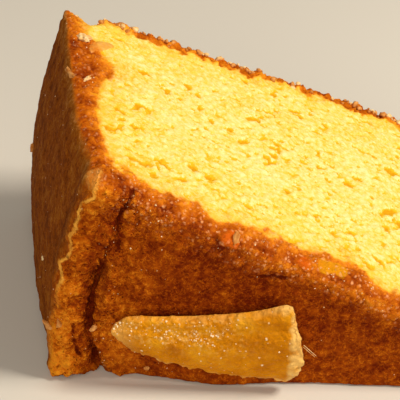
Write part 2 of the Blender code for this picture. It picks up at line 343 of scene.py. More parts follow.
def wall_band(height):
    """The browned band on the cut along the wall, with a caramelised blotch below the rim."""
    return WALL_BAND + swells(height, WALL_BAND_BLOTCHES) * MM


def crust_depth(place):
    """How far into the sponge a spot on the cut is, where 1 is the end of the browned band."""
    radius, _, height = cake_spot(place)
    wander = 1.0 + 0.35 * wavy(place, 3.1 * MM, 4.0) + 0.22 * wavy(place, 1.3 * MM, 7.0)
    from_base = height / base_band(radius)
    from_wall = (wall_radius(height) - radius) / wall_band(height)
    from_top = (top_height(radius) - height) / TOP_BAND
    calm = 0.5 + 0.5 * wander
    return min(from_base * wander, from_wall * calm, from_top * wander * wander)


def lip_offset(place):
    """How far the place is from the crinkled lip where the base meets the wall."""
    radius = cake_spot(place)[0]
    along = Vector((0.0, 0.0, place.z))
    crinkle = 1.2 * MM * wavy(along, 4.2 * MM, 23.0) + 0.5 * MM * wavy(along, 1.4 * MM, 24.0)
    return radius - BASE_RADIUS + 0.5 * MM + crinkle


def browning(place, normal):
    """How browned the sponge is at a place of the surface: 0 in the crumb, 1 in dark crust; it also
    carries painted shade in the folds and painted light along the foot and on the faces near the cut.
    """
    radius, turn, height = cake_spot(place)
    depth = crust_depth(place)
    inside = 0.66 - 0.4 * min(depth, 1.0)
    inside *= 1.0 - smooth(0.85, 1.2, depth)
    inside += 0.12 * (1.0 - smooth(0.9, 2.6, depth))
    inside -= 0.24 * smooth(44 * MM, 50 * MM, height) * smooth(104 * MM, 108 * MM, radius)
    inside -= 0.15 * (1.0 - smooth(0.0, 4 * MM, top_height(radius) - height))
    on_cut = smooth(0.45, 0.9, max(normal.dot(square_to_cut(turn)), -normal.z))
    skin = 0.86
    # The base is lighter along the cut edge, on the welt, at the rim and along the foot; along the foot
    # this is painted light, as if bounced up from the ground below
    facing_base = smooth(0.3, 0.8, -normal.y)
    from_cut = below_cut(radius, turn)
    edge = 1.0 - smooth(1 * MM, 6.5 * MM + 2.5 * MM * wavy(place, 6 * MM, 2.0), from_cut)
    edge *= 1.0 - 0.85 * smooth(72 * MM, 84 * MM, radius)
    welt = smooth(FOLD_RADIUS + 1 * MM, FOLD_RADIUS + 5 * MM, radius)
    low = 1.0 - smooth(8 * MM, 24 * MM, place.z)
    by_lip = smooth(103 * MM, 106 * MM, radius) * (1.0 - low)
    skin -= facing_base * (0.3 * edge + welt * (0.36 + 0.06 * low - 0.13 * by_lip) + 0.08 * low)
    skin -= facing_base * 0.19 * ridge(radius - 96.5 * MM, 4.5 * MM)
    # Faces other than the base are lighter near the cut: painted light on the wall where it turns
    # towards the lamp
    skin -= (1.0 - facing_base) * 0.3 * (1.0 - smooth(0.0, 6 * MM, from_cut))
    # Darker along the two folds: painted shade in their creases
    for offset, opened in fold_lines(place):
        skin += 0.16 * facing_base * opened * ridge(offset, 1.3 * MM)
    # The top is an even golden brown
    skin -= 0.3 * smooth(0.4, 0.9, normal.y)
    return blend(skin, inside, on_cut), on_cut


def sponge_lumps(place):
    return 0.55 * lumps(place, 2.3 * MM, 5.0) + 0.45 * lumps(place, 1.25 * MM, 6.0)


def crust_lumps(place):
    return 0.5 * lumps(place, 2.3 * MM, 27.0) + 0.5 * lumps(place, 1.15 * MM, 28.0)


def holes(place, lumpy):
    """1 where lumps are missing and the sponge gapes, along the gaps between its lumps."""
    stretched = Vector((place.x * 0.8, place.y * 1.2, place.z))
    patch = wavy(place, 7 * MM, 11.0)
    gap = 0.5 * (1.0 - lumpy) + 0.75 * wavy(stretched, 2.3 * MM, 8.0) + 0.3 * patch
    fleck = 0.5 * (1.0 - lumpy) + 0.7 * wavy(stretched, 1.2 * MM, 3.0) + 0.15 * patch
    return max(smooth(0.66, 0.84, gap), 0.75 * smooth(0.62, 0.76, fleck))


def relief(place, normal, browned, on_cut, lumpy, hole, moist):
    """How far the surface stands in or out at a place, on top of the solid's own form."""
    radius, turn, height = cake_spot(place)
    rise = turn / SLICE_ANGLE
    from_cut = below_cut(radius, turn)
    open_sponge = 0.4 * lumpy - 0.18 + 0.08 * wavy(place, 0.9 * MM, 6.0) - 0.45 * hole
    facing_wall = smooth(0.4, 0.8, normal.dot(away_from_axis(turn)))
    facing_base = smooth(0.2, 0.7, -normal.y)
    # Crust is lumpy near its edges and folds, and even further in
    welt = smooth(90 * MM, 97 * MM, radius)
    beside_cut = 1.0 - smooth(4 * MM, 10 * MM, from_cut)
    beside_fold = ridge(radius - FOLD_RADIUS, 7 * MM)
    coarse = max(1.3 * on_cut, facing_base * max(0.9 * welt + 0.6 * beside_fold, beside_cut), 0.3)
    coarse *= 1.0 - 0.5 * facing_wall
    skin = 0.75 * coarse * (lumpy - 0.35) + 0.16 * wavy(place, 2.6 * MM, 13.0)
    skin += 0.08 * wavy(place, 0.9 * MM, 14.0) + 0.15 * moist * (lumpy - 0.35)
    skin += facing_base * welt * 0.25 * wavy(place, 3.2 * MM, 25.0)
    skin += facing_base * (0.35 * amber_share(place) - 0.5 * ridge(crack_distance(place), 0.45 * MM))
    off_lip = ridge(lip_offset(place), 0.75 * MM) * (1.0 - smooth(2 * MM, 4 * MM, height))
    skin += 0.65 * off_lip * (0.8 + 0.5 * wavy(place, 1.5 * MM, 29.0))
    (first, first_open), (second, second_open) = fold_lines(place)
    skin -= facing_base * first_open * CREASE_DEPTH / MM * ridge(first, CREASE_WIDTH)
    closed = smooth(0.6, 0.7, rise) * (1.0 - smooth(0.8, 0.9, rise))
    skin += facing_base * (0.9 + 0.9 * closed) * ridge(first, 2.4 * MM)
    skin -= facing_base * second_open * SECOND_CREASE_DEPTH / MM * ridge(second, SECOND_CREASE_WIDTH)
    # The second fold is softer below than the solid has it
    shallow = 1.0 - smooth(0.65, 0.8, rise)
    skin += 0.5 * facing_base * shallow * ridge(second, 1.2 * MM)
    streaks = Vector((place.x, place.y, place.z * 0.4))
    skin += facing_wall * 0.1 * wavy(streaks, 0.95 * MM, 15.0)
    near_crown = ridge(top_height(radius) - height, 2.5 * MM) * (1.0 - smooth(0.0, 5 * MM, from_cut))
    ragged = near_crown * (0.9 * wavy(place, 1.8 * MM, 17.0) + 0.6 * wavy(place, 0.9 * MM, 18.0))
    crumb = 1.0 - smooth(0.12, 0.4, browned)
    stand = blend(skin, open_sponge, crumb * on_cut) + ragged
    return blend(stand, 0.35, 0.7 * skin_flap(radius, turn, height)) * MM


def fine_copy(node, name, voxel):
    """A copy of a CAD node's surface with even quads of that size."""
    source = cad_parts[node]
    coarse = source.data.copy()
    welded = bmesh.new()
    welded.from_mesh(coarse)
    bmesh.ops.remove_doubles(welded, verts=welded.verts, dist=0.001 * MM)
    welded.to_mesh(coarse)
    welded.free()
    coarse.materials.clear()
    thing = bpy.data.objects.new(name, coarse)
    bpy.context.collection.objects.link(thing)
    remesh = thing.modifiers.new("even quads", "REMESH")
    remesh.mode = "VOXEL"
    remesh.voxel_size = voxel
    remesh.use_smooth_shade = True
    bpy.context.view_layer.update()
    shaped = thing.evaluated_get(bpy.context.evaluated_depsgraph_get())
    fine = bpy.data.meshes.new_from_object(shaped)
    thing.modifiers.clear()
    thing.data = fine
    bpy.data.meshes.remove(coarse)
    fine.name = name
    if not fine.vertices:
        raise RuntimeError(f"{name} came out empty")
    return thing


def flatten_underside(mesh):
    """Joins the flat faces that the slice rests on into one."""
    level = 0.001 * MM
    whole = bmesh.new()
    whole.from_mesh(mesh)
    flat = [face for face in whole.faces if all(v.co.z < level for v in face.verts)]
    bmesh.ops.dissolve_faces(whole, faces=flat, use_verts=True)
    bmesh.ops.triangulate(whole, faces=[face for face in whole.faces if len(face.verts) > 4])
    whole.to_mesh(mesh)
    whole.free()


def keep_attribute(mesh, name, values):
    mesh.attributes.new(name, "FLOAT", "POINT").data.foreach_set("value", values)


def moistness(place, on_cut, browned):
    """1 in the syrupy, grainy band along the near edge of the upper cut, 0 away from it."""
    radius, turn, height = cake_spot(place)
    from_cut = below_cut(radius, turn)
    reach = 6 * MM + 3 * MM * wavy(place, 5 * MM, 41.0)
    wet = 1.0 - smooth(0.4 * reach, reach, from_cut)
    wet *= 1.0 - smooth(7 * MM, 10 * MM, height)
    wet *= smooth(0.2, 0.4, browned)
    wet *= 1.0 - smooth(99 * MM, 106 * MM, radius)
    # The browned band along the wall is syrupy as well
    band = 0.55 * on_cut * smooth(0.3, 0.5, browned) * smooth(100 * MM, 104 * MM, radius)
    return max(band * (turn > 0), wet * smooth(35 * MM, 45 * MM, radius))


def colour_property(name, description, code):
    """A colour a user can pick, with its default as an sRGB hex code."""
    return bpy.props.FloatVectorProperty(
        name=name,
        description=description,
        subtype="COLOR",
        size=4,
        default=linear(code),
        min=0.0,
        max=1.0,
    )


class CakeColours(bpy.types.PropertyGroup):
    """Colours of the open crumb. The warm colour between its lumps and the hole and deep hole colours
    are painted shade; the warmth near the crust is its own colour.
    """

    crumb_pale: colour_property("Pale crumb", "On top of the lumps", "#F9EBA2")
    crumb_warm: colour_property("Warm crumb", "Between lumps and near the crust", "#F4D052")
    crumb_hole: colour_property("Holes", "Edges of the holes and tears", "#F0BE26")
    crumb_deep: colour_property("Deep holes", "Bottoms of the holes", "#D69612")


class CakeSizes(bpy.types.PropertyGroup):
    """Sizes of the dressed slice."""

    slice_quad: bpy.props.FloatProperty(
        name="Slice mesh", description="Width of the slice's quads", default=0.465 * MM, unit="LENGTH"
    )
    peel_quad: bpy.props.FloatProperty(
        name="Peel mesh", description="Width of the peel's quads", default=0.3 * MM, unit="LENGTH"
    )


# What the slice's mesh says of each place, for its material
SPONGE_VALUES = (
    "browned", "hole", "near", "wall", "cut", "moist", "lumpy", "porous", "flap", "crack", "amber",
    "redder",
)

# How large the sponge's patterns are
PATCH_SIZE = 7 * MM
MOTTLE_SIZE = 3.4 * MM
SPECKLE_SIZE = 0.95 * MM
GRAIN_SIZE = 0.45 * MM
BEND_SIZE = 1.1 * MM
BEND_REACH = 0.9 * MM
SMALL_LUMP_SIZE = 1.3 * MM
BUBBLE_SIZE = 0.85 * MM
PIT_SIZE = 1.25 * MM
GLINT_CELL_SIZE = 0.95 * MM
THREAD_SPACING = 1.7 * MM
PLEAT_STREAK_SIZE = 0.9 * MM
BUMP_HEIGHT = 0.35 * MM


def sponge_material(colours):
    """Orange sponge, baked in a lined tin and cut.

    The open crumb scatters light, so it is pale on its lumps and golden in its gaps and holes, shade
    that is painted into its colour.
    The crust is dark, grainy and dry, with painted shade in its folds, cracks and pores and between its
    lumps, and the syrupy band near the cut glistens, with painted highlights besides its lower
    roughness.
    """
    material, tree, shader = new_material("orange sponge, baked and cut")

    def product(*values):
        """The values multiplied with each other."""
        total = values[0]
        for value in values[1:]:
            total = add(tree, "Math", (total, value), operation="MULTIPLY")
        return total

    def sums(start, *terms):
        """start, with each value less its middle added so many times."""
        total = start
        for value, middle, many in terms:
            total = add(tree, "Math", (value, many, total), operation="MULTIPLY_ADD")
            if middle:
                total = add(tree, "Math", (total, middle * many), operation="SUBTRACT")
        return total

    def within(distance, inner, outer, *shares):
        """1 up to the inner distance and 0 past the outer one, times the shares."""
        past = add(tree, "MapRange", (distance, inner, outer))
        return product(add(tree, "Math", (1.0, past), operation="SUBTRACT"), *shares)

    def coated(colour, *coats):
        """The colour under its coats, each of which covers as much as its share says."""
        for share, coat in coats:
            colour = add(tree, "Mix", {0: share, 6: colour, 7: coat}, output=2, data_type="RGBA")
        return colour

    # What the mesh says of each place
    given = []
    for name in SPONGE_VALUES:
        given.append(add(tree, "Attribute", output="Fac", attribute_name=name))
    browned, hole, near, wall, cut, moist, lumpy, porous, flap, crack, amber, redder = given
    skin = add(tree, "Math", (1.0, cut), operation="SUBTRACT")

    # Cloudy patterns, from patches down to grain, and cells with crooked walls
    where = add(tree, "TexCoord", output="Object")
    clouds = []
    for size, detail, roughness in (
        (PATCH_SIZE, 3.0, 0.6), (MOTTLE_SIZE, 5.0, 0.65), (SPECKLE_SIZE, 4.0, 0.68),
        (GRAIN_SIZE, 2.0, 0.6), (BEND_SIZE, 2.0, 0.6),
    ):
        inputs = {"Vector": where, "Scale": per(size), "Detail": detail, "Roughness": roughness}
        clouds.append(add(tree, "TexNoise", inputs))
    patches, mottle, speckle, grain, bend = clouds
    bend = bend.node.outputs["Color"]
    reach = Vector((1, 1, 1)) * BEND_REACH
    bent = add(tree, "VectorMath", (bend, reach, where), operation="MULTIPLY_ADD")
    cells = []
    for size in (SMALL_LUMP_SIZE, BUBBLE_SIZE, PIT_SIZE, GLINT_CELL_SIZE):
        cells.append(add(tree, "TexVoronoi", {"Vector": bent, "Scale": per(size)}))
    small_lumps, bubbles, pits, glint_cells = cells
    inputs = {"Vector": bent, "Scale": per(SMALL_LUMP_SIZE)}
    between_lumps = add(tree, "TexVoronoi", inputs, feature="DISTANCE_TO_EDGE")

    # Crumb: pale lumps, warmer towards the crust in its own colour; warmer between the lumps and golden
    # in holes, tears and narrow gaps as painted shade
    gaps = within(
        between_lumps,
        0.02,
        0.12,
        add(tree, "MapRange", (speckle, 0.44, 0.58)),
        add(tree, "MapRange", (patches, 0.3, 0.6)),
    )
    warmth = sums(
        add(tree, "MapRange", (patches, 0.4, 0.65, 0.0, 0.3)),
        (near, 0.0, 0.5), (lumpy, 0.45, -0.9), (small_lumps, 0.4, 0.8), (speckle, 0.5, 2.2),
        (grain, 0.5, 1.8),
    )
    torn = sums(hole, (speckle, 0.5, 1.2), (grain, 0.5, 0.6))
    crumb = coated(
        tuple(colours.crumb_pale),
        (add(tree, "MapRange", (warmth, -0.2, 0.9)), tuple(colours.crumb_warm)),
        (add(tree, "MapRange", (torn, 0.3, 0.42)), tuple(colours.crumb_hole)),
        (add(tree, "MapRange", (torn, 0.6, 0.9, 0.0, 0.85)), tuple(colours.crumb_deep)),
        (product(gaps, 0.9), tuple(colours.crumb_hole)),
    )

    # The two folds and the lip are lines: the folds darker with painted shade, the lip paler with a
    # painted highlight; threads are pale, pores dark with painted shade and pale rims of painted
    # highlight
    folds = add(tree, "Attribute", output="Vector", attribute_name="folds")
    folds = add(tree, "SeparateXYZ", (folds,)).node.outputs
    opened = add(tree, "Attribute", output="Vector", attribute_name="opened")
    opened = add(tree, "SeparateXYZ", (opened,)).node.outputs
    lines = []
    for i, (inner, outer) in enumerate(((0.15, 0.8), (0.1, 0.55), (0.14, 0.4))):
        off = add(tree, "Math", (sums(folds[i], (speckle, 0.5, 1.4)),), operation="ABSOLUTE")
        lines.append(within(off, inner, outer, opened[i]))
    first_fold, second_fold, lip = lines
    inputs = {"Vector": bent, "Scale": per(THREAD_SPACING), "Detail": 4.0, "Roughness": 0.6}
    threads = add(tree, "TexNoise", inputs)
    threads = add(tree, "Math", (threads, 0.5), operation="SUBTRACT")
    threads = within(add(tree, "Math", (threads,), operation="ABSOLUTE"), 0.0, 0.03, skin)
    # Pores darken the tone and their rims lighten it: painted shade in the pores and painted highlight
    # on their rims
    pores = within(bubbles, 0.14, 0.27, add(tree, "MapRange", (speckle, 0.42, 0.56)), porous)
    rims = product(add(tree, "MapRange", (bubbles, 0.22, 0.34)), within(bubbles, 0.36, 0.5), porous)
    # Cracks darken the tone: painted shade in them
    cracks = within(sums(crack, (speckle, 0.5, 1.0)), 0.1, 0.45, skin)

    # Crust: the mottled browning moves the tone up and down a ramp of sugar browning; painted shade
    # darkens it between the lumps and in the folds, cracks and pores, and painted light lightens the
    # lumps and the pores' rims
    uneven = add(tree, "Math", (mottle, 0.5), operation="SUBTRACT")
    patchy = add(tree, "Math", (patches, 0.5), operation="SUBTRACT")
    bulging = add(tree, "Math", (lumpy, 0.4), operation="SUBTRACT")
    tone = sums(
        browned, (product(uneven, cut), 0.0, 0.9), (product(uneven, porous), 0.0, 0.5),
        (mottle, 0.5, 0.3), (speckle, 0.5, 0.4), (grain, 0.5, 0.3), (lumpy, 0.4, -0.32),
        (product(patchy, skin), 0.0, 0.45), (cracks, 0.0, 0.6), (product(bulging, porous), 0.0, -0.2),
        (first_fold, 0.0, 0.3), (second_fold, 0.0, 0.3), (threads, 0.0, -0.26), (rims, 0.0, -0.16),
        (pores, 0.0, 0.25),
    )
    tone = add(tree, "Math", (tone, product(skin, 0.3)), operation="MAXIMUM")
    baked = add(
        tree,
        "ValToRGB",
        (tone,),
        stops=(
            (0.0, "#F8C23A"), (1.0, "#6A1E03"), (0.18, "#F3A820"), (0.36, "#E6861C"),
            (0.52, "#CC6C0E"), (0.68, "#AE5006"), (0.84, "#8D3804"),
        ),
    )
    # The wall is browner, with thin pale streaks where the paper's pleats ran down it; its browner hue
    # is partly painted light, a yellow-brown bounce into its shade, and its lumps are lighter with
    # painted light
    upright = add(tree, "VectorMath", (bent, (1.0, 1.0, 0.6)), operation="MULTIPLY")
    inputs = {"Vector": upright, "Scale": per(PLEAT_STREAK_SIZE), "Detail": 4.0, "Roughness": 0.7}
    streaks = add(tree, "TexNoise", inputs)
    wall_tone = sums(
        0.48, (streaks, 0.5, 0.9), (mottle, 0.5, 1.3), (browned, 0.86, -1.0), (lumpy, 0.4, 0.25),
        (grain, 0.5, 0.6), (speckle, 0.5, 0.5),
    )
    papered_and_bounce_lit = add(
        tree,
        "ValToRGB",
        (wall_tone,),
        stops=((0.1, "#5E2A06"), (0.95, "#C08040"), (0.45, "#90480C"), (0.7, "#A46018")),
    )
    # Over the lip lies a pale golden line: a painted highlight where the lip catches the light
    baked = coated(baked, (product(wall, skin), papered_and_bounce_lit), (lip, linear("#FFB444")))

    # The flap of thin skin, and the lumps that the syrup has soaked through
    flap = add(tree, "MapRange", (sums(flap, (speckle, 0.5, 1.2)), 0.35, 0.7, 0.0, 0.7))
    flap_share = add(tree, "MapRange", (speckle, 0.35, 0.65))
    flap_tone = coated(linear("#D87C22"), (flap_share, linear("#EAA44C")))
    amber = add(tree, "MapRange", (sums(amber, (speckle, 0.5, 0.9)), 0.3, 0.8, 0.0, 0.8))
    amber_tone = coated(linear("#E2980E"), (redder, linear("#DC640E")))
    # Pits of baked air bubbles, ragged and uneven in size, dark inside with painted shade
    pit = within(pits, 0.1, 0.26, add(tree, "MapRange", (mottle, 0.45, 0.6, 0.0, 0.7)), skin)
    # Small pinkish points in the moist band: painted highlights, as where syrup and sugar catch the
    # light
    glinting = product(moist, add(tree, "MapRange", (speckle, 0.4, 0.55)))
    glint = within(glint_cells, 0.1, 0.42, glinting)
    crusty = add(tree, "MapRange", (browned, 0.02, 0.34))
    colour = coated(
        crumb,
        (crusty, baked),
        (flap, flap_tone),
        (amber, amber_tone),
        (pit, linear("#641E04")),
        (product(glint, 0.8), linear("#FDB478")),
    )
    tree.links.new(colour, shader.inputs["Base Color"])
    tree.links.new(sums(0.85, (moist, 0.0, -0.45)), shader.inputs["Roughness"])
    shader.inputs["IOR"].default_value = 1.4
    shader.inputs["Specular IOR Level"].default_value = 0.05

    high = sums(
        0.0, (speckle, 0.5, 1.3), (grain, 0.5, 0.8), (pit, 0.0, -0.5), (threads, 0.0, 0.15),
        (first_fold, 0.0, -0.6), (second_fold, 0.0, -0.6), (lip, 0.0, 0.5), (torn, 0.0, -0.3),
        (pores, 0.0, -0.5), (rims, 0.0, 0.3), (gaps, 0.0, -0.4), (cracks, 0.0, -0.8),
        (product(small_lumps, cut), 0.0, -0.5),
    )
    # Light spreads through the open crumb, which evens out its shading
    strength = sums(0.35, (crusty, 0.0, 0.6))
    bump = add(tree, "Bump", {"Height": high, "Distance": BUMP_HEIGHT, "Strength": strength})
    tree.links.new(bump, shader.inputs["Normal"])
    return material


def peel_share(place):
    """How far along and how far across the strip of peel a place is, from -1 to 1 across."""
    share = min(1.0, max(0.0, (place.x - PEEL_LEFT) / (PEEL_RIGHT - PEEL_LEFT)))
    centre = PEEL_CENTRE[0] + PEEL_CENTRE[1] * share + PEEL_CENTRE[2] * share**2
    half_width = PEEL_HALF_WIDTH[0] + PEEL_HALF_WIDTH[1] * share**0.8
    return share, (place.z - centre) / half_width


def peel_relief(place):
    """The strip's dried surface: a rolled upper edge, a hollow below it and long wrinkles."""
    share, across = peel_share(place)
    rolled = 0.28 * ridge(across - 0.86, 0.12) - 0.3 * ridge(across - 0.55, 0.2)
    long = Vector((place.x * 0.35, place.y, place.z))
    wrinkles = 0.2 * wavy(long, 2.4 * MM, 51.0) + 0.3 * granules(place, 1.1 * MM, 52.0)
    edge = smooth(0.7, 1.0, max(abs(across), smooth(0.8, 1.0, share), 1.0 - smooth(0.0, 0.15, share)))
    frayed = edge * (0.5 * wavy(place, 2.2 * MM, 53.0) + 0.35 * wavy(place, 1.0 * MM, 54.0))
    return (rolled + wrinkles + frayed - 0.1) * MM


def peel_material():
    """Orange peel, candied in syrup.

    The syrup makes it amber and half see-through, deeper in the middle and pale along its
    thin cut edges, with a soft shine.
    """
    material, tree, shader = new_material("orange peel, candied")
    where = add(tree, "TexCoord", output="Object")
    edge = add(tree, "Attribute", output="Fac", attribute_name="edge")
    grainy = add(tree, "Attribute", output="Fac", attribute_name="grainy")
    patches = add(tree, "TexNoise", {"Vector": where, "Scale": per(4 * MM), "Detail": 5.0})
    body = add(
        tree,
        "ValToRGB",
        (patches,),
        stops=((0.3, "#C07102"), (0.75, "#ECA41A"), (0.5, "#DA8A06")),
    )
    # Pale frost along the upper left band: sugar frosting, and painted sheen where the strip turns
    # towards the light
    frost_and_sheen = add(tree, "TexNoise", {"Vector": where, "Scale": per(0.8 * MM), "Detail": 3.0})
    frost_and_sheen = add(tree, "MapRange", (frost_and_sheen, 0.5, 0.7, 0.0, 0.6))
    frost_and_sheen = add(tree, "Math", (frost_and_sheen, grainy), operation="MULTIPLY")
    pale = add(tree, "Math", (edge, frost_and_sheen), operation="MAXIMUM")
    inputs = {0: pale, 6: body, 7: linear("#F5C26A")}
    colour = add(tree, "Mix", inputs, output=2, data_type="RGBA")
    tree.links.new(colour, shader.inputs["Base Color"])
    shader.inputs["Roughness"].default_value = 0.35
    shader.inputs["IOR"].default_value = 1.48
    shader.inputs["Specular IOR Level"].default_value = 0.05
    fine = add(tree, "TexNoise", {"Vector": where, "Scale": per(0.9 * MM), "Detail": 4.0})
    bump = add(tree, "Bump", {"Height": fine, "Distance": 0.8 * MM, "Strength": 0.9})
    tree.links.new(bump, shader.inputs["Normal"])
    return material


def ground_material():
    """Matte painted board: a plain pale floor."""
    material, _, shader = new_material("board, painted matte")
    shader.inputs["Base Color"].default_value = linear("#DCD8CE")
    shader.inputs["Roughness"].default_value = 0.8
    return material


class CAKE_OT_slice(bpy.types.Operator):
    """Dress the slice with open crumb on its cuts and browned crust round them"""

    bl_idname = "cake.slice"
    bl_label = "Slice"

    def execute(self, context):
        thing = fine_copy("cake_slice", "slice_crumb_and_crust", context.scene.cake_sizes.slice_quad)
        mesh = thing.data
        tip = max(v.co.x for v in mesh.vertices)
        values = []
        folds = []
        opened = []
        moved = []
        for vertex in mesh.vertices:
            place = vertex.co.copy()
            place.x += (SLICE_HIGH.x - tip) * smooth(SLICE_HIGH.x - 12 * MM, tip, place.x)
            normal = vertex.normal.copy()
            browned, on_cut = browning(place, normal)
            crumb = (1.0 - smooth(0.1, 0.35, browned)) * on_cut
            lumpy = blend(crust_lumps(place), sponge_lumps(place), crumb)
            hole = holes(place, lumpy) * crumb
            moist = moistness(place, on_cut, browned)
            radius, turn, height = cake_spot(place)
            inside = min(wall_radius(height) - radius, height, top_height(radius) - height)
            near = math.exp(-max(0.0, inside - BASE_BAND / 2) / (7 * MM))
            (first, first_open), (second, second_open) = fold_lines(place)
            facing = smooth(0.2, 0.7, -normal.y)
            folds += [first / MM, second / MM, lip_offset(place) / MM]
            rise = turn / SLICE_ANGLE
            lip_share = (1.0 - smooth(1.5 * MM, 3 * MM, height)) * smooth(-0.4, 0.2, -normal.y)
            lip_share *= min(1.0, 0.9 + wavy(place, 2.5 * MM, 26.0)) * smooth(0.35, 0.6, rise)
            low = 1.0 - smooth(8 * MM, 26 * MM, place.z)
            welt = smooth(96 * MM, 102 * MM, radius)
            by_fold = 0.5 * ridge(radius - 98 * MM, 5 * MM)
            porous = facing * min(1.0, welt * (0.5 + 0.5 * low) + 0.15 + by_fold)
            opened += [first_open * facing, second_open * facing, lip_share]
            wall = smooth(0.6, 0.95, normal.dot(away_from_axis(turn)))
            flap = skin_flap(radius, turn, height)
            crack = crack_distance(place) / MM
            amber = amber_share(place)
            redder = smooth(*AMBER_RED, radius / MM)
            values.append(
                (browned, hole, near, wall, on_cut, moist, lumpy, porous, flap, crack, amber, redder)
            )
            thin = smooth(3 * MM, 14 * MM, radius)
            resting = 1.0 - smooth(0.0, 0.6 * MM, place.z)
            stand = relief(place, normal, browned, on_cut, lumpy, hole, moist)
            place += normal * stand * thin * (1.0 - resting)
            moved.append(kept_inside(place, SLICE_LOW, SLICE_HIGH))
        for vertex, place in zip(mesh.vertices, moved):
            vertex.co = place
        for name, numbers in zip(SPONGE_VALUES, zip(*values)):
            keep_attribute(mesh, name, numbers)
        for name, numbers in (("folds", folds), ("opened", opened)):
            mesh.attributes.new(name, "FLOAT_VECTOR", "POINT").data.foreach_set("vector", numbers)
        flatten_underside(mesh)
        colours = context.scene.cake_colours
        mesh.materials.append(sponge_material(colours))
        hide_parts("cake_slice")
        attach(thing, "root")
        return {"FINISHED"}


class CAKE_OT_peel(bpy.types.Operator):
    """Dress the strip of candied peel"""

    bl_idname = "cake.peel"
    bl_label = "Candied peel"

    def execute(self, context):
        thing = fine_copy("candied_peel", "peel_strip", context.scene.cake_sizes.peel_quad)
        mesh = thing.data
        edges = []
        grains = []
        moved = []
        for vertex in mesh.vertices:
            place = vertex.co.copy()
            share, across = peel_share(place)
            past = max(abs(across), smooth(0.84, 0.96, share), 1.0 - smooth(0.0, 0.1, share))
            pale = smooth(0.84, 1.04, past + 0.14 * wavy(place, 1.5 * MM, 55.0))
            lower_left = smooth(0.5, -0.8, across) * (1.0 - smooth(0.2, 0.6, share))
            tip = 0.5 * (1.0 - smooth(0.0, 0.16, share))
            edges.append(max(tip, pale * max(0.3, lower_left, smooth(0.75, 0.95, share))))
            # The upper left band, which gets the pale frost with its painted sheen, and more sugar
            grains.append((1.0 - smooth(0.4, 0.95, share)) * smooth(-0.5, 0.3, across))
            facing = smooth(-0.5, 0.1, -vertex.normal.y)
            place += vertex.normal * peel_relief(place) * facing
            moved.append(kept_inside(place, PEEL_LOW, PEEL_HIGH))
        for vertex, place in zip(mesh.vertices, moved):
            vertex.co = place
        keep_attribute(mesh, "edge", edges)
        keep_attribute(mesh, "grainy", grains)
        mesh.materials.append(peel_material())
        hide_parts("candied_peel")
        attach(thing, "root")
        return {"FINISHED"}


def crystals(name, spots, material):
    """One piece of loose sugar crystals, each a small crooked block half sunk in its spot."""
    draw = random.Random(name)
    mesh = bmesh.new()
    for place, normal, size in spots:
        block = bmesh.ops.create_cube(mesh, size=1.0)["verts"]
        turned = Matrix.Rotation(draw.uniform(0, math.tau), 3, normal)
        spin = turned @ normal.to_track_quat("Z", "Y").to_matrix()
        tilt = Matrix.Rotation(draw.uniform(-0.6, 0.6), 3, "X")
        for corner in block:
            jitter = Vector((draw.uniform(0.6, 1.2), draw.uniform(0.5, 1.0), draw.uniform(0.5, 1.0)))
            corner.co = kept_inside(place + spin @ (tilt @ (corner.co * jitter)) * size, *CAD_BOX)
    data = bpy.data.meshes.new(name)
    mesh.to_mesh(data)
    mesh.free()
    data.materials.append(material)
    thing = bpy.data.objects.new(name, data)
    bpy.context.collection.objects.link(thing)
    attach(thing, "root")
    return thing


def scattered(thing, count, density, sizes, seed):
    """Spots on a mesh's faces, thinned out by a density from 0 to 1 at each place."""
    draw = random.Random(seed)
    faces = thing.data.polygons
    spots = []
    for _ in range(count):
        face = faces[draw.randrange(len(faces))]
        keep = draw.random()
        size = blend(*sizes, draw.random() ** 2)
        if keep < density(face.center, face.normal, face.vertices[0]):
            spots.append((face.center.copy(), face.normal.copy(), size))
    return spots


def clouded(tree, size, detail, dark, light):
    """Clouds of that size, and a colour that goes with them from dark to light."""
    where = add(tree, "TexCoord", output="Object")
    tone = add(tree, "TexNoise", {"Vector": where, "Scale": per(size), "Detail": detail})
    return tone, add(tree, "ValToRGB", (tone,), stops=((0.35, dark), (0.65, light)))


def sugar_material():
    """Sugar, crystallised: clear white with hard glints."""
    material, tree, shader = new_material("sugar, crystallised")
    _, colour = clouded(tree, 1.5 * MM, 2.0, "#E8BE7C", "#FDE8C0")
    tree.links.new(colour, shader.inputs["Base Color"])
    shader.inputs["Roughness"].default_value = 0.18
    shader.inputs["IOR"].default_value = 1.56
    return material


# How many spots sugar is tried on, on the peel and on the crust, and the crystals' sizes there
PEEL_SUGAR_TRIES = 2200
PEEL_SUGAR_SIZES = (0.12 * MM, 0.42 * MM)
CRUST_SUGAR_TRIES = 60000
CRUST_SUGAR_SIZES = (0.1 * MM, 0.26 * MM)


